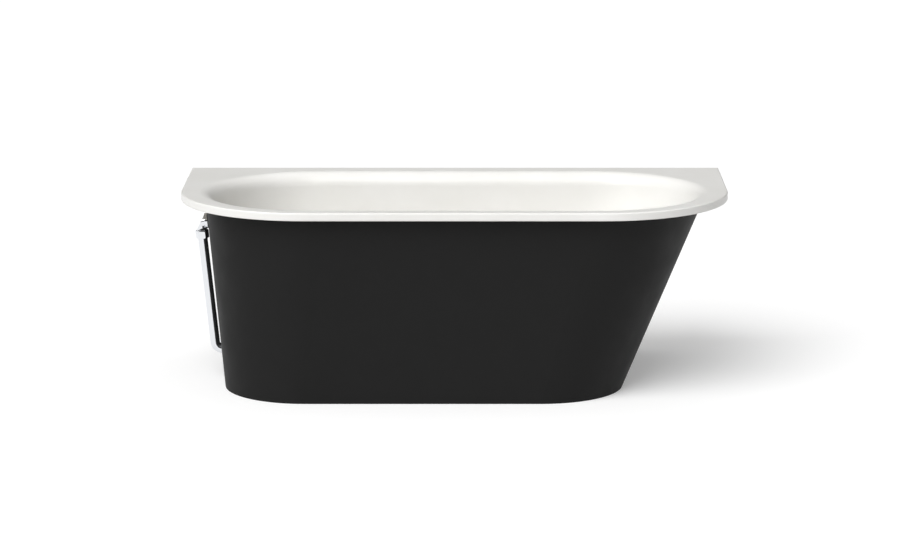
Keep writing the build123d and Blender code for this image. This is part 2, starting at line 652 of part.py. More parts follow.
with BuildPart() as spring:
    coil_height = SPRING_LENGTH - 2 * SPRING_WIRE
    coil_start = Vector(WASTE_X + SPRING_RADIUS, BASIN_Y, spring_seat + SPRING_WIRE)
    with BuildLine():
        Helix(coil_height / SPRING_TURNS, coil_height, SPRING_RADIUS, center=(WASTE_X, BASIN_Y, coil_start.Z))
    with BuildSketch(Plane(origin=coil_start, z_dir=(0, 1, 0))):
        Circle(SPRING_WIRE)
    sweep(is_frenet=True)
keep(spring, "plug_spring")


def socket_nut(mouth):
    """Ribbed nut over a socket, with a lip on the pipe; the plane lies on the socket's mouth, facing out."""
    length = SOCKET_LENGTH - SOCKET_NUT_BACK + SOCKET_SEAL + SOCKET_NUT_LIP
    with BuildPart() as nut:
        with BuildSketch(mouth.offset(SOCKET_NUT_BACK - SOCKET_LENGTH)):
            Circle(SOCKET_NUT_RADIUS)
            with PolarLocations(SOCKET_NUT_RADIUS, SOCKET_NUT_RIBS):
                Circle(SOCKET_NUT_RIB)
            Circle(PIPE_RADIUS, mode=Mode.SUBTRACT)
        extrude(amount=length)
        with BuildSketch(mouth.offset(SOCKET_NUT_BACK - SOCKET_LENGTH)):
            Circle(SOCKET_RADIUS)
        extrude(amount=length - SOCKET_NUT_LIP, mode=Mode.SUBTRACT)
    return nut


# Trap: a bowl with an inlet socket and a dip pipe above, an outlet socket at the back and a screwed cap below
inlet_mouth = level(TRAP_TOP + SOCKET_LENGTH)
outlet_mouth = Plane(
    origin=(WASTE_X, BASIN_Y + TRAP_RADIUS + SOCKET_LENGTH, OUTLET_HEIGHT),
    z_dir=(0, 1, 0),
)
with BuildPart() as trap:
    with BuildSketch(level(TRAP_BOTTOM)):
        Circle(TRAP_RADIUS)
    extrude(amount=TRAP_TOP - TRAP_BOTTOM)
    fillet(trap.edges(), TRAP_ROUND)
    with BuildSketch(inlet_mouth):
        Circle(SOCKET_RADIUS)
    extrude(amount=-SOCKET_LENGTH - TRAP_WALL)
    with BuildSketch(outlet_mouth):
        Circle(SOCKET_RADIUS)
    extrude(amount=-SOCKET_LENGTH - OUTLET_ROOT)
    with BuildSketch(level(TRAP_BOTTOM + TRAP_WALL)):
        Circle(TRAP_RADIUS - TRAP_WALL)
    extrude(amount=TRAP_TOP - TRAP_BOTTOM - 2 * TRAP_WALL, mode=Mode.SUBTRACT)
    with BuildSketch(level(TRAP_BOTTOM)):
        Circle(CAP_RADIUS)
    extrude(amount=TRAP_WALL, mode=Mode.SUBTRACT)
    with BuildSketch(level(TRAP_TOP)):
        Circle(PIPE_RADIUS)
    extrude(amount=-DIP_DEPTH)
    with BuildSketch(level(TRAP_TOP)):
        Circle(PIPE_RADIUS - PIPE_WALL)
    extrude(amount=-DIP_DEPTH, mode=Mode.SUBTRACT)
    with BuildSketch(inlet_mouth):
        Circle(PIPE_RADIUS)
    extrude(amount=tail_end - TRAP_TOP - SOCKET_LENGTH, mode=Mode.SUBTRACT)
    with BuildSketch(outlet_mouth):
        Circle(PIPE_RADIUS)
    extrude(amount=-SOCKET_LENGTH, mode=Mode.SUBTRACT)
    with BuildSketch(outlet_mouth):
        Circle(PIPE_RADIUS - PIPE_WALL)
    extrude(amount=-SOCKET_LENGTH - OUTLET_ROOT, mode=Mode.SUBTRACT)
keep(trap, "trap_body")
keep(socket_nut(inlet_mouth), "trap_nut")
keep(ring(inlet_mouth, SOCKET_RADIUS, PIPE_RADIUS, SOCKET_SEAL), "trap_seal")
keep(socket_nut(outlet_mouth), "outlet_nut")
keep(ring(outlet_mouth, SOCKET_RADIUS, PIPE_RADIUS, SOCKET_SEAL), "outlet_seal")

pipe_start = BASIN_Y + TRAP_RADIUS
reducer_start = BACK_Y - OUTLET_END_SETBACK - REDUCER_LENGTH
outlet_start = Plane(origin=(WASTE_X, pipe_start, OUTLET_HEIGHT), z_dir=(0, 1, 0))
outlet_length = reducer_start + REDUCER_SOCKET - pipe_start
keep(ring(outlet_start, PIPE_RADIUS, PIPE_RADIUS - PIPE_WALL, outlet_length), "outlet_pipe")

# Reducer: a socket on the pipe's end, a stop, and a spigot for the drain's larger socket
reducer_mouth = Plane(origin=(WASTE_X, reducer_start, OUTLET_HEIGHT), z_dir=(0, 1, 0))
with BuildPart() as reducer:
    with BuildSketch(reducer_mouth):
        Circle(REDUCER_RADIUS)
        Circle(PIPE_RADIUS, mode=Mode.SUBTRACT)
    extrude(amount=REDUCER_SOCKET)
    with BuildSketch(reducer_mouth.offset(REDUCER_SOCKET)):
        Circle(REDUCER_RADIUS)
        Circle(PIPE_RADIUS - PIPE_WALL, mode=Mode.SUBTRACT)
    extrude(amount=REDUCER_STOP)
    with BuildSketch(reducer_mouth.offset(REDUCER_SOCKET + REDUCER_STOP)):
        Circle(REDUCER_RADIUS)
        Circle(REDUCER_RADIUS - REDUCER_WALL, mode=Mode.SUBTRACT)
    extrude(amount=REDUCER_LENGTH - REDUCER_SOCKET - REDUCER_STOP)
keep(reducer, "outlet_reducer")

with BuildPart() as trap_cap:
    with BuildSketch(level(TRAP_BOTTOM - CAP_SEAL)):
        Circle(CAP_FLANGE)
    extrude(amount=-CAP_FLANGE_THICKNESS)
    with BuildSketch(level(TRAP_BOTTOM - CAP_SEAL)):
        Circle(CAP_RADIUS)
        Circle(CAP_RADIUS - CAP_WALL, mode=Mode.SUBTRACT)
    extrude(amount=CAP_DEPTH)
keep(trap_cap, "trap_cap")
keep(ring(level(TRAP_BOTTOM - CAP_SEAL), CAP_FLANGE, CAP_RADIUS, CAP_SEAL), "trap_cap_seal")

# Levelling feet: a plate with a threaded boss bonded under the basin, a lock nut, a stud and a swivel pad
foot_places = [
    (x, BASIN_Y + side * FOOT_SPREAD)
    for x in (FOOT_LEFT_X, FOOT_RIGHT_X)
    for side in (-1, 1)
]
boss_under = BASIN_UNDER - PLATE_THICKNESS - FOOT_BOSS_LENGTH

with BuildPart() as plates:
    with BuildSketch(Plane.XY.offset(BASIN_UNDER)):
        with Locations(foot_places):
            Circle(PLATE_RADIUS)
    extrude(amount=-PLATE_THICKNESS)
    with BuildSketch(Plane.XY.offset(BASIN_UNDER)):
        with Locations(foot_places):
            Circle(FOOT_BOSS_RADIUS)
    extrude(amount=boss_under - BASIN_UNDER)
    with BuildSketch(Plane.XY.offset(boss_under)):
        with Locations(foot_places):
            Circle(STUD_RADIUS + THREAD_CLEARANCE)
    extrude(amount=BASIN_UNDER - PLATE_SKIN - boss_under, mode=Mode.SUBTRACT)
keep(plates, "foot_plates")

with BuildPart() as locknuts:
    with BuildSketch(Plane.XY.offset(boss_under)):
        with Locations(foot_places):
            RegularPolygon(LOCKNUT_FLATS / 2, 6, major_radius=False)
            Circle(STUD_RADIUS + THREAD_CLEARANCE, mode=Mode.SUBTRACT)
    extrude(amount=-LOCKNUT_HEIGHT)
keep(locknuts, "foot_locknuts")

ball_under = PAD_FLOOR + PAD_PLAY
stud_top = BASIN_UNDER - PLATE_SKIN - STUD_TOP_ROOM
for number, (x, y) in enumerate(foot_places, 1):
    with BuildPart() as stud:
        with BuildSketch(Plane((x, y, ball_under))):
            Circle(STUD_BALL)
        extrude(amount=STUD_BALL_HEIGHT)
        with BuildSketch(Plane((x, y, ball_under))):
            Circle(STUD_RADIUS)
        extrude(amount=stud_top - ball_under)
        with BuildSketch(Plane((x, y, PAD_HEIGHT + STUD_HEX_GAP))):
            RegularPolygon(STUD_HEX_FLATS / 2, 6, major_radius=False)
        extrude(amount=STUD_HEX_HEIGHT)
    keep(stud, f"foot_{number}_stud")
    with BuildPart() as pad:
        with BuildSketch(Plane((x, y, 0))):
            Circle(PAD_RADIUS)
        extrude(amount=PAD_HEIGHT)
        chamfer(pad.edges().group_by(Axis.Z)[-1], PAD_CHAMFER)
        with BuildSketch(Plane((x, y, PAD_FLOOR))):
            Circle(STUD_BALL + PAD_PLAY)
        extrude(amount=STUD_BALL_HEIGHT + 2 * PAD_PLAY, mode=Mode.SUBTRACT)
        with BuildSketch(Plane((x, y, PAD_FLOOR))):
            Circle(STUD_RADIUS + PAD_PLAY)
        extrude(amount=PAD_HEIGHT - PAD_FLOOR, mode=Mode.SUBTRACT)
    keep(pad, f"foot_{number}_pad")
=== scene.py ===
# %% [markdown]
# This lesson dresses a CAD model of a bathtub as a product picture. The tub is a white stone resin basin with a
# rolled rim, bonded to a matt black skirt, with a polished chrome overflow pipe outside its left end. The
# model comes in as a fixed frame: every node is an object in metres at the origin, with its place in its mesh,
# so a new piece goes where the numbers say and nothing has to be fitted by eye.

# %% Load the frame
import json
from math import cos, pi, radians, sin

import bmesh
import bpy
from mathutils import Matrix, Vector


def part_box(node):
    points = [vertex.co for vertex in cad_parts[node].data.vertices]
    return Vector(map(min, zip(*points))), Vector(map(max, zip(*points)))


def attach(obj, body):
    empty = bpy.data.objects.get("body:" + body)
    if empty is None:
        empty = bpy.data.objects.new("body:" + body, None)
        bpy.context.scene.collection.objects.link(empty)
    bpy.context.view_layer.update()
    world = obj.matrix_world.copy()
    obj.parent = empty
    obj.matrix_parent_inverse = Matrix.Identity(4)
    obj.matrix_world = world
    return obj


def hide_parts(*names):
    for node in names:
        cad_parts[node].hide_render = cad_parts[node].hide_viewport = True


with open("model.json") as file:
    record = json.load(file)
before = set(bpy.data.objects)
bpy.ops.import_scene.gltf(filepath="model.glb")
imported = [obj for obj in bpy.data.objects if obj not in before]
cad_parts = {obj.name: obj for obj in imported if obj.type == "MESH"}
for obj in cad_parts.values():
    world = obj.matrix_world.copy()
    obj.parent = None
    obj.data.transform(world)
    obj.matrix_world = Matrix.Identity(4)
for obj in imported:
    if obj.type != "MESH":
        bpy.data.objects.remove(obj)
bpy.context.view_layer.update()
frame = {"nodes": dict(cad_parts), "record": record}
nodes = frame["nodes"]
scene = bpy.context.scene
MM = 0.001
home = {name: body for body, names in frame["record"]["behaviour"]["bodies"].items() for name in names}

# %% [markdown]
# The camera stands about ten metres in front of the tub with a long lens, level sideways and tipped down by
# about twelve degrees, so the tub shows with almost no perspective. The middle of the view lies a little off
# the middle of the picture, and the lens shift takes that up. Places are in metres, and the lens and the middle
# of the view are in pixels of the picture.

# %% Camera
PICTURE_WIDTH = 920
LENS_PIXELS = 3309.29
VIEW_CENTRE = 476.97
SENSOR_WIDTH = 36.0
CAMERA_PLACE = (0.07008, -10.13798, 2.43826)
CAMERA_TIP = radians(11.654)
FAR_CLIP = 200.0

camera_data = bpy.data.cameras.new("studio_camera")
camera_data.sensor_width = SENSOR_WIDTH
camera_data.lens = LENS_PIXELS / PICTURE_WIDTH * SENSOR_WIDTH
camera_data.shift_x = 0.5 - VIEW_CENTRE / PICTURE_WIDTH
camera_data.clip_end = FAR_CLIP
camera = bpy.data.objects.new("studio_camera", camera_data)
camera.location = CAMERA_PLACE
camera.rotation_euler = (pi / 2 - CAMERA_TIP, 0, 0)
scene.collection.objects.link(camera)
scene.camera = camera
print("lens:", round(camera_data.lens, 2), "mm")

# %% [markdown]
# Every colour is written as an sRGB hex value, the way a paint or a screen colour is given, and one function
# turns it into the linear values that shaders work in. A second function adds a node to a material with its
# settings and its links, so that a material reads as a list of what it is made of.

# %% Colour and node helpers
def linear(code):
    """Linear colour of an sRGB hex value."""
    channels = [int(code[i:i + 2], 16) / 255 for i in (1, 3, 5)]
    return tuple(c / 12.92 if c <= 0.04045 else ((c + 0.055) / 1.055) ** 2.4 for c in channels) + (1.0,)


def add(tree, kind, inputs=None, **settings):
    """Add a shader node, give it its settings, and set or link its inputs."""
    node = tree.nodes.new("ShaderNode" + kind)
    for name, value in settings.items():
        setattr(node, name, value)
    for name, value in (inputs or {}).items():
        if isinstance(value, bpy.types.NodeSocket):
            tree.links.new(value, node.inputs[name])
        else:
            node.inputs[name].default_value = value
    return node


def new_material(name):
    """Empty node material with its output node, ready for a surface."""
    material = bpy.data.materials.new(name)
    material.use_nodes = True
    tree = material.node_tree
    tree.nodes.clear()
    return material, tree, add(tree, "OutputMaterial")


print("middle grey #808080 is", round(linear("#808080")[0], 3), "in linear light")

# %% [markdown]
# Patterns are sized in millimetres. A noise or cell texture repeats once for each unit of its scale, so a grain
# of so many millimetres needs one over that length in metres. Bumps are given a height in millimetres too,
# which keeps a paint's orange peel a few hundredths deep, as it is on the real thing. Most of a pattern lies in
# the middle of its range, so a Map Range node that starts from two middle levels spreads it over a whole new
# range. A Mix node's sockets are named here by their numbers, because those for colours and for plain numbers
# share their labels.

# %% Pattern helpers
MIDDLE_LEVELS = {"From Min": 0.3, "From Max": 0.7}
MIX_SHARE = 0
FIRST_NUMBER = 2
SECOND_NUMBER = 3
FIRST_COLOUR = 6
SECOND_COLOUR = 7
MIXED_NUMBER = 0
MIXED_COLOUR = 2


def per_metre(size):
    """Texture scale for a grain of a size in millimetres."""
    return 1 / (size * MM)


print("a grain of 2 mm repeats", round(per_metre(2.0)), "times a metre")

# %% [markdown]
# The stage is a pale floor that runs on behind the tub. A camera ray, and a ray that a mirror or glass sends
# out, sees it lifted to the white of a studio sweep, while every other ray sees plain pale paint that carries
# the tub's shadow. The world stays nearly dark, so that the chrome has a dark upper half, as it has beside a
# dark wall.

# %% Floor
FLOOR_HALF = 60.0
FLOOR_GREY = "#E7E7E7"
FLOOR_LIFT = 0.28
PLAIN_WHITE = (1, 1, 1, 1)

floor_material, tree, output = new_material("painted_studio_floor")
path = add(tree, "LightPath")
seen = add(tree, "Math", {0: path.outputs["Is Camera Ray"], 1: path.outputs["Is Glossy Ray"]},
           operation="MAXIMUM")
seen = add(tree, "Math", {0: seen.outputs[0], 1: path.outputs["Is Transmission Ray"]}, operation="MAXIMUM")
lift = add(tree, "Math", {0: seen.outputs[0], 1: FLOOR_LIFT}, operation="MULTIPLY")
paint = add(tree, "BsdfDiffuse", {"Color": linear(FLOOR_GREY)})
glow = add(tree, "Emission", {"Color": PLAIN_WHITE, "Strength": lift.outputs[0]})
both = add(tree, "AddShader", {0: paint.outputs[0], 1: glow.outputs[0]})
tree.links.new(both.outputs[0], output.inputs["Surface"])

form = bmesh.new()
bmesh.ops.create_grid(form, x_segments=1, y_segments=1, size=FLOOR_HALF)
floor_mesh = bpy.data.meshes.new("studio_floor")
form.to_mesh(floor_mesh)
form.free()
floor = bpy.data.objects.new("studio_floor", floor_mesh)
floor_mesh.materials.append(floor_material)
scene.collection.objects.link(floor)
print("floor:", 2 * FLOOR_HALF, "m wide")

# %% [markdown]
# Two soft lamps light the tub. A large softbox stands in front and a little to the left, and a wider and weaker
# one hangs overhead. Both are sun lamps with a wide angle, which light the tub evenly from a great distance,
# the way a softbox much larger than the tub does, and which never stand in a camera's way. A sun lamp with an
# energy of pi lights a surface that faces it just as bright as its colour is written, so each strength below is
# a share of that.

# %% Lamps
WORLD_STRENGTH = 0.03
LAMP_DISTANCE = 10.0
LAMPS = (
    # name, degrees round from the front towards the left, degrees above the horizon, degrees wide, strength
    ("front_softbox", 34.0, 45.0, 55.0, 0.86),
    ("top_softbox", 0.0, 90.0, 90.0, 0.36),
)

world = bpy.data.worlds.new("studio")
scene.world = world
world.use_nodes = True
world.node_tree.nodes["Background"].inputs["Color"].default_value = PLAIN_WHITE
world.node_tree.nodes["Background"].inputs["Strength"].default_value = WORLD_STRENGTH
for name, around, above, width, strength in LAMPS:
    lamp = bpy.data.lights.new(name, "SUN")
    lamp.angle = radians(width)
    lamp.energy = strength * pi
    softbox = bpy.data.objects.new(name, lamp)
    level = cos(radians(above))
    towards = Vector((-sin(radians(around)) * level, -cos(radians(around)) * level, sin(radians(above))))
    softbox.location = towards * LAMP_DISTANCE
    softbox.rotation_euler = towards.to_track_quat("Z", "Y").to_euler()
    scene.collection.objects.link(softbox)
scene.view_settings.view_transform = "Standard"
print("lamps:", len(LAMPS))

# %% [markdown]
# The basin and its rim are one casting of stone resin, which is ground stone in polyester. Where nobody
# polishes it, the bare casting is a greyish, rough and speckled stone. Basin and skirt share this look on the
# sides that are turned away, so one function gives its colour to both.

# %% Bare casting
RESIN_SPECKLE = 2.2


def bare_resin(tree, place):
    """Colour of the unpolished casting, with its fine stone speckle."""
    stones = add(tree, "TexVoronoi", {"Vector": place, "Scale": per_metre(RESIN_SPECKLE)}, feature="F1")
    spread = add(tree, "MapRange", {"Value": stones.outputs["Distance"], **MIDDLE_LEVELS})
    greys = {FIRST_COLOUR: linear("#BDB7AB"), SECOND_COLOUR: linear("#D6D1C6")}
    stone = add(tree, "Mix", {MIX_SHARE: spread.outputs["Result"], **greys}, data_type="RGBA")
    return stone.outputs[MIXED_COLOUR]


print("stone speckle:", RESIN_SPECKLE, "mm")

# %% [markdown]
# A white gelcoat is sprayed into the basin's mould before the resin. It is polished to a satin and keeps a
# faint orange peel. Behind the basin, under its floor and on the flat underside of the rim the bare casting
# shows instead. A point belongs to that side if its surface faces down and it lies no higher than the rim's
# underside, with half a millimetre to spare. Heights, grains and depths are in millimetres.

# %% Stone resin with a white gelcoat
RIM_UNDERSIDE = 575.0
TO_SPARE = 0.5
FACES_DOWN = -0.02
GELCOAT_CLOUD = 160.0
GELCOAT_POLISH = 45.0
GELCOAT_PEEL = 7.0
GELCOAT_PEEL_DEPTH = 0.04
BARE_ROUGHNESS = 0.85

gelcoat, tree, output = new_material("stone_resin_white_gelcoat")
place = add(tree, "TexCoord").outputs["Object"]
cloud = add(tree, "TexNoise", {"Vector": place, "Scale": per_metre(GELCOAT_CLOUD), "Detail": 3.0})
peel = add(tree, "TexNoise", {"Vector": place, "Scale": per_metre(GELCOAT_PEEL), "Detail": 2.0})
polish = add(tree, "TexNoise", {"Vector": place, "Scale": per_metre(GELCOAT_POLISH), "Detail": 2.0})
facing = add(tree, "SeparateXYZ", {0: add(tree, "NewGeometry").outputs["Normal"]}).outputs["Z"]
height = add(tree, "SeparateXYZ", {0: place}).outputs["Z"]
top = (RIM_UNDERSIDE + TO_SPARE) * MM
down = add(tree, "Math", {0: facing, 1: FACES_DOWN}, operation="LESS_THAN").outputs[0]
low = add(tree, "Math", {0: height, 1: top}, operation="LESS_THAN").outputs[0]
bare = add(tree, "Math", {0: down, 1: low}, operation="MULTIPLY").outputs[0]
clouds = add(tree, "MapRange", {"Value": cloud.outputs["Fac"], **MIDDLE_LEVELS})
whites = {FIRST_COLOUR: linear("#F3F2EF"), SECOND_COLOUR: linear("#EFEEEA")}
white = add(tree, "Mix", {MIX_SHARE: clouds.outputs["Result"], **whites}, data_type="RGBA")
satin = add(tree, "MapRange", {"Value": polish.outputs["Fac"], **MIDDLE_LEVELS, "To Min": 0.34, "To Max": 0.38})
colour = add(tree, "Mix", {MIX_SHARE: bare, FIRST_COLOUR: white.outputs[MIXED_COLOUR],
                           SECOND_COLOUR: bare_resin(tree, place)}, data_type="RGBA")
rough = add(tree, "Mix", {MIX_SHARE: bare, FIRST_NUMBER: satin.outputs["Result"],
                          SECOND_NUMBER: BARE_ROUGHNESS}, data_type="FLOAT")
bump = add(tree, "Bump", {"Height": peel.outputs["Fac"], "Strength": 0.5, "Distance": GELCOAT_PEEL_DEPTH * MM})
skin = add(tree, "BsdfPrincipled", {"Base Color": colour.outputs[MIXED_COLOUR],
                                    "Roughness": rough.outputs[MIXED_NUMBER],
                                    "IOR": 1.5, "Normal": bump.outputs[0]})
tree.links.new(skin.outputs[0], output.inputs["Surface"])
print("gelcoat nodes:", len(tree.nodes))

# %% [markdown]
# The skirt is cast from the same stone resin and sprayed with a matt black paint. Matt paint scatters most of
# what it reflects, so it gets a high roughness, and its fine spray texture is drawn coarser than it is, because
# grains of a tenth of a millimetre wouldn't show. The inside is left as bare resin. A point belongs to it if
# its surface faces a post inside the tub, halfway from its middle to the wall, which one dot product tells.
# Grains and depths are in millimetres.

# %% Matt black paint
INNER_POST = (0.0, 200 * MM, 0.0)
FLATTEN = (1, 1, 0)
PAINT_CLOUD = 90.0
PAINT_SPRAY = 2.0
PAINT_SPRAY_DEPTH = 0.08

black_paint, tree, output = new_material("matt_black_spray_paint")
place = add(tree, "TexCoord").outputs["Object"]
cloud = add(tree, "TexNoise", {"Vector": place, "Scale": per_metre(PAINT_CLOUD), "Detail": 5.0}).outputs["Fac"]
spray = add(tree, "TexNoise", {"Vector": place, "Scale": per_metre(PAINT_SPRAY), "Detail": 3.0}).outputs["Fac"]
level = add(tree, "VectorMath", {0: place, 1: FLATTEN}, operation="MULTIPLY").outputs[0]
outwards = add(tree, "VectorMath", {0: level, 1: INNER_POST}, operation="SUBTRACT").outputs[0]
facing = add(tree, "NewGeometry").outputs["Normal"]
along = add(tree, "VectorMath", {0: outwards, 1: facing}, operation="DOT_PRODUCT").outputs["Value"]
inside = add(tree, "Math", {0: along, 1: 0.0}, operation="LESS_THAN").outputs[0]
clouds = add(tree, "MapRange", {"Value": cloud, **MIDDLE_LEVELS})
blacks = {FIRST_COLOUR: linear("#131313"), SECOND_COLOUR: linear("#171717")}
black = add(tree, "Mix", {MIX_SHARE: clouds.outputs["Result"], **blacks}, data_type="RGBA")
colour = add(tree, "Mix", {MIX_SHARE: inside, FIRST_COLOUR: black.outputs[MIXED_COLOUR],
                           SECOND_COLOUR: bare_resin(tree, place)}, data_type="RGBA")
matt = add(tree, "MapRange", {"Value": cloud, **MIDDLE_LEVELS, "To Min": 0.56, "To Max": 0.66})
bump = add(tree, "Bump", {"Height": spray, "Strength": 0.4, "Distance": PAINT_SPRAY_DEPTH * MM})
skin = add(tree, "BsdfPrincipled", {"Base Color": colour.outputs[MIXED_COLOUR],
                                    "Roughness": matt.outputs["Result"], "IOR": 1.45,
                                    "Specular IOR Level": 0.25, "Normal": bump.outputs[0]})
tree.links.new(skin.outputs[0], output.inputs["Surface"])
print("black paint nodes:", len(tree.nodes))

# %% [markdown]
# The overflow pipe, its elbow and nut, the cover, the drain flange and the plug are brass with a polished
# chrome plate. Chrome is a mirror with a cool tint. What keeps it from looking like a computer's mirror is a
# slight change of polish from place to place, and the very shallow waves that buffing leaves. Grains and depths
# are in millimetres.

# %% Polished chrome plate
CHROME_HAZE = 14.0
CHROME_WAVE = 25.0
CHROME_WAVE_DEPTH = 0.05

chrome, tree, output = new_material("polished_chrome_plate")
place = add(tree, "TexCoord").outputs["Object"]
haze = add(tree, "TexNoise", {"Vector": place, "Scale": per_metre(CHROME_HAZE), "Detail": 4.0}).outputs["Fac"]
wave = add(tree, "TexNoise", {"Vector": place, "Scale": per_metre(CHROME_WAVE), "Detail": 1.0}).outputs["Fac"]
gloss = add(tree, "MapRange", {"Value": haze, **MIDDLE_LEVELS, "To Min": 0.035, "To Max": 0.085})
bump = add(tree, "Bump", {"Height": wave, "Strength": 0.25, "Distance": CHROME_WAVE_DEPTH * MM})
skin = add(tree, "BsdfPrincipled", {"Base Color": linear("#E4E6E9"), "Metallic": 1.0,
                                    "Roughness": gloss.outputs["Result"], "Normal": bump.outputs[0]})
tree.links.new(skin.outputs[0], output.inputs["Surface"])
print("chrome nodes:", len(tree.nodes))

# %% [markdown]
# Gaskets, seals, the grommet and the foot pads are moulded EPDM rubber, near black with a dusty bloom. The
# moulded plumbing under the basin is polypropylene: a soft, slightly warm white with a fine spark-eroded
# texture. Grains and depths are in millimetres.

# %% Moulded rubber and plastic
MOULDED_CLOUD = 30.0


def moulded(name, dark, light, grain, depth, dull, shiny, ior):
    """Moulded material: a faint cloud in its colour, and a fine texture from the mould."""
    material, tree, output = new_material(name)
    place = add(tree, "TexCoord").outputs["Object"]
    cloud = add(tree, "TexNoise", {"Vector": place, "Scale": per_metre(MOULDED_CLOUD), "Detail": 4.0})
    texture = add(tree, "TexNoise", {"Vector": place, "Scale": per_metre(grain), "Detail": 2.0})
    clouds = add(tree, "MapRange", {"Value": cloud.outputs["Fac"], **MIDDLE_LEVELS})
    shades = {FIRST_COLOUR: linear(dark), SECOND_COLOUR: linear(light)}
    colour = add(tree, "Mix", {MIX_SHARE: clouds.outputs["Result"], **shades}, data_type="RGBA")
    polish = {"To Min": shiny, "To Max": dull}
    rough = add(tree, "MapRange", {"Value": cloud.outputs["Fac"], **MIDDLE_LEVELS, **polish})
    bump = add(tree, "Bump", {"Height": texture.outputs["Fac"], "Strength": 0.5, "Distance": depth * MM})
    skin = add(tree, "BsdfPrincipled", {"Base Color": colour.outputs[MIXED_COLOUR],
                                        "Roughness": rough.outputs["Result"], "IOR": ior,
                                        "Normal": bump.outputs[0]})
    tree.links.new(skin.outputs[0], output.inputs["Surface"])
    return material


rubber = moulded("moulded_epdm_rubber", "#191918", "#24231F",
                 grain=0.9, depth=0.06, dull=0.82, shiny=0.68, ior=1.52)
plastic = moulded("moulded_polypropylene", "#E6E5DF", "#EFEEE9",
                  grain=1.4, depth=0.05, dull=0.46, shiny=0.36, ior=1.49)
print("moulded:", rubber.name, plastic.name)

# %% [markdown]
# Turned brass and drawn spring wire show fine lines that run round the piece or along the wire. So their noise
# is drawn out sideways, to lines twenty times as long as they are high. Line heights and depths are in
# millimetres.

# %% Turned brass and drawn wire
DRAWN_OUT = (0.05, 0.05, 1.0)
LINE_DEPTH = 0.03


def cut_metal(name, dark, light, line, dull, shiny):
    """Turned or drawn metal, with lines round the Z axis."""
    material, tree, output = new_material(name)
    place = add(tree, "TexCoord").outputs["Object"]
    drawn = add(tree, "Mapping", {"Vector": place, "Scale": DRAWN_OUT}).outputs[0]
    lines = add(tree, "TexNoise", {"Vector": drawn, "Scale": per_metre(line), "Detail": 3.0}).outputs["Fac"]
    marks = add(tree, "MapRange", {"Value": lines, **MIDDLE_LEVELS})
    shades = {FIRST_COLOUR: linear(dark), SECOND_COLOUR: linear(light)}
    colour = add(tree, "Mix", {MIX_SHARE: marks.outputs["Result"], **shades}, data_type="RGBA")
    rough = add(tree, "MapRange", {"Value": lines, **MIDDLE_LEVELS, "To Min": shiny, "To Max": dull})
    bump = add(tree, "Bump", {"Height": lines, "Strength": 0.4, "Distance": LINE_DEPTH * MM})
    skin = add(tree, "BsdfPrincipled", {"Base Color": colour.outputs[MIXED_COLOUR], "Metallic": 1.0,
                                        "Roughness": rough.outputs["Result"], "Normal": bump.outputs[0]})
    tree.links.new(skin.outputs[0], output.inputs["Surface"])
    return material


brass = cut_metal("turned_brass", "#B98E4A", "#D2AA66", line=0.5, dull=0.36, shiny=0.22)
wire = cut_metal("drawn_spring_steel", "#8E9194", "#B5B8BA", line=0.4, dull=0.38, shiny=0.24)
print("cut metals:", brass.name, wire.name)

# %% [markdown]
# The studs, plates and lock nuts of the levelling feet are steel with a coat of zinc. Zinc freezes on steel
# into small crystals, the spangle, and each crystal has its own grey and its own polish. Grains and depths are
# in millimetres.

# %% Zinc on steel
ZINC_SPANGLE = 4.0
ZINC_GRAIN = 0.8
ZINC_GRAIN_DEPTH = 0.03

zinc, tree, output = new_material("zinc_plated_steel")
place = add(tree, "TexCoord").outputs["Object"]
spangle = add(tree, "TexVoronoi", {"Vector": place, "Scale": per_metre(ZINC_SPANGLE)}, feature="F1")
shade = add(tree, "SeparateXYZ", {0: spangle.outputs["Color"]}).outputs["X"]
grain = add(tree, "TexNoise", {"Vector": place, "Scale": per_metre(ZINC_GRAIN), "Detail": 2.0}).outputs["Fac"]
greys = {FIRST_COLOUR: linear("#A9ADB1"), SECOND_COLOUR: linear("#C6C8C6")}
colour = add(tree, "Mix", {MIX_SHARE: shade, **greys}, data_type="RGBA")
rough = add(tree, "MapRange", {"Value": shade, **MIDDLE_LEVELS, "To Min": 0.3, "To Max": 0.42})
bump = add(tree, "Bump", {"Height": grain, "Strength": 0.3, "Distance": ZINC_GRAIN_DEPTH * MM})
skin = add(tree, "BsdfPrincipled", {"Base Color": colour.outputs[MIXED_COLOUR], "Metallic": 1.0,
                                    "Roughness": rough.outputs["Result"], "Normal": bump.outputs[0]})
tree.links.new(skin.outputs[0], output.inputs["Surface"])
print("zinc nodes:", len(tree.nodes))

# %% [markdown]
# The model comes with one material slot for each finish. Each node takes the finish of its own slot, so nothing
# is left plain, whether it shows or not.

# %% Finishes on the CAD nodes
finishes = {
    "white_gelcoat": gelcoat,
    "black_matt": black_paint,
    "chrome": chrome,
    "black_rubber": rubber,
    "brass": brass,
    "spring_steel": wire,
    "white_plastic": plastic,
    "zinc_steel": zinc,
}
slot_of = {}
for name, node in nodes.items():
    slot_of[name] = node.material_slots[0].material.name
    node.material_slots[0].material = finishes[slot_of[name]]
print("finishes:", len(finishes))

# %% [markdown]
# Small turned and moulded pieces never have knife edges: a nut is tumbled and a casting leaves its mould with
# rounded corners, and it is these edges that catch the light. A copy of the CAD mesh gets them here. Its loose
# triangles are merged, flat neighbours are joined to whole faces, and each sharp edge is bevelled by a few
# tenths of a millimetre. A bevel on an outer edge only takes material away, so the piece stays inside its CAD
# outline. The merging distance is in millimetres.

# %% Helpers for detailed pieces
MERGE = 0.01
SHARP = radians(30)
FLAT = radians(0.5)


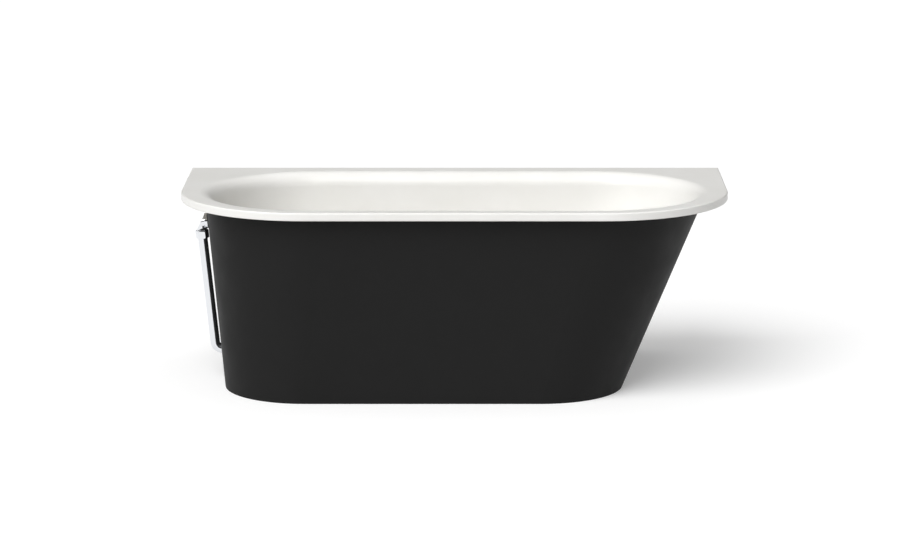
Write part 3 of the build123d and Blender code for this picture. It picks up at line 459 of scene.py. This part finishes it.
def cad_form(name):
    """Copy of a node's mesh with its doubles merged and its flat faces joined."""
    form = bmesh.new()
    form.from_mesh(nodes[name].data)
    bmesh.ops.remove_doubles(form, verts=form.verts, dist=MERGE * MM)
    bmesh.ops.dissolve_limit(form, angle_limit=FLAT, verts=form.verts, edges=form.edges)
    return form


def round_edges(form, width):
    """Bevel every edge that is sharper than a smooth surface's facets."""
    sharp = [edge for edge in form.edges if len(edge.link_faces) == 2 and edge.calc_face_angle() > SHARP]
    bmesh.ops.bevel(form, geom=sharp, offset=width * MM, offset_type="OFFSET", affect="EDGES", segments=2,
                    profile=0.5, material=-1, clamp_overlap=True)


def publish(form, name, *replaced):
    """Make an object of a bmesh that rides and is finished as the node that it replaces."""
    mesh = bpy.data.meshes.new(name)
    form.to_mesh(mesh)
    form.free()
    mesh.materials.clear()
    mesh.materials.append(finishes[slot_of[replaced[0]]])
    for face in mesh.polygons:
        face.material_index = 0
    mesh.shade_smooth()
    mesh.set_sharp_from_angle(angle=SHARP)
    piece = bpy.data.objects.new(name, mesh)
    scene.collection.objects.link(piece)
    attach(piece, home[replaced[0]])
    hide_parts(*replaced)
    return piece


print("doubles are merged within", MERGE, "mm")

# %% [markdown]
# The pieces of the overflow, the waste and the trap get their rounded edges in one loop, and so do the feet's
# plates and lock nuts. Each has its own width in millimetres: thin sheet and small screws take the least, and
# thick plastic mouldings and the chrome elbow the most.

# %% Rounded edges
EDGE_WIDTHS = {
    "overflow_elbow": 0.8,
    "overflow_nut_top": 0.8,
    "overflow_nut_low": 0.6,
    "overflow_cover": 0.3,
    "overflow_screw": 0.2,
    "waste_flange": 0.3,
    "plug_cap": 0.3,
    "waste_body": 0.6,
    "trap_nut": 0.5,
    "trap_body": 0.8,
    "trap_cap": 0.6,
    "outlet_nut": 0.5,
    "outlet_reducer": 0.6,
    "foot_plates": 0.6,
    "foot_locknuts": 0.5,
}
for name, width in EDGE_WIDTHS.items():
    form = cad_form(name)
    round_edges(form, width)
    rounded = publish(form, name + "_rounded", name)
    print(name, "faces:", len(rounded.data.polygons))

# %% [markdown]
# The levelling feet hang on M12 studs, and a stud without its thread would look like a plain pin. A real thread
# is rolled as one long ridge that climbs by its pitch each turn. Spin makes just that: a row of zigzag teeth
# goes once round the stud while it climbs by one pitch, so each tooth ends where the next one began, and
# merging the doubles joins the turns into one ridge. The CAD stud inside it is thinned down to the root of the
# thread, and keeps its hexagon, its ball and its rounded ends. The ridge isn't closed: its lowest and highest
# borders lie on the rod, and where it starts and ends a tooth shows its open section, 0.9 mm high. Radii,
# pitch, run-in and edge width are in millimetres.

# %% Threaded studs
FEET = 4
THREAD_CREST = 6.0
THREAD_ROOT = 5.1
THREAD_PITCH = 1.75
THREAD_STEPS = 32
THREAD_RUN_IN = 2.0
STUD_EDGE = 0.4


def thread_ridge(form, x, y, bottom, top):
    """Helical ridge round an upright stud, open at its two ends."""
    teeth = int((top - bottom) / (THREAD_PITCH * MM)) - 1
    corners = []
    for tooth in range(2 * teeth + 1):
        reach = THREAD_ROOT if tooth % 2 == 0 else THREAD_CREST
        corners.append(form.verts.new((x + reach * MM, y, bottom + tooth * THREAD_PITCH * MM / 2)))
    profile = [form.edges.new(pair) for pair in zip(corners, corners[1:])]
    bmesh.ops.spin(form, geom=corners + profile, cent=(x, y, 0), axis=(0, 0, 1), angle=2 * pi,
                   dvec=(0, 0, THREAD_PITCH * MM / THREAD_STEPS), steps=THREAD_STEPS)
    bmesh.ops.remove_doubles(form, verts=form.verts, dist=MERGE * MM)
    bmesh.ops.recalc_face_normals(form, faces=form.faces)


for number in range(1, FEET + 1):
    name = f"foot_{number}_stud"
    low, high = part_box(name)
    x, y = (low[0] + high[0]) / 2, (low[1] + high[1]) / 2
    form = cad_form(name)
    rod = [v for v in form.verts if abs((v.co.xy - Vector((x, y))).length - THREAD_CREST * MM) < MERGE * MM]
    bottom = min(v.co.z for v in rod)
    top = max(v.co.z for v in rod)
    thin = THREAD_ROOT / THREAD_CREST
    bmesh.ops.scale(form, vec=(thin, thin, 1), space=Matrix.Translation((-x, -y, 0)), verts=rod)
    round_edges(form, STUD_EDGE)
    ridge = bmesh.new()
    thread_ridge(ridge, x, y, bottom + THREAD_RUN_IN * MM, top)
    loose = bpy.data.meshes.new("thread")
    ridge.to_mesh(loose)
    ridge.free()
    form.from_mesh(loose)
    bpy.data.meshes.remove(loose)
    stud = publish(form, name + "_threaded", name)
    print(name, "faces:", len(stud.data.polygons))
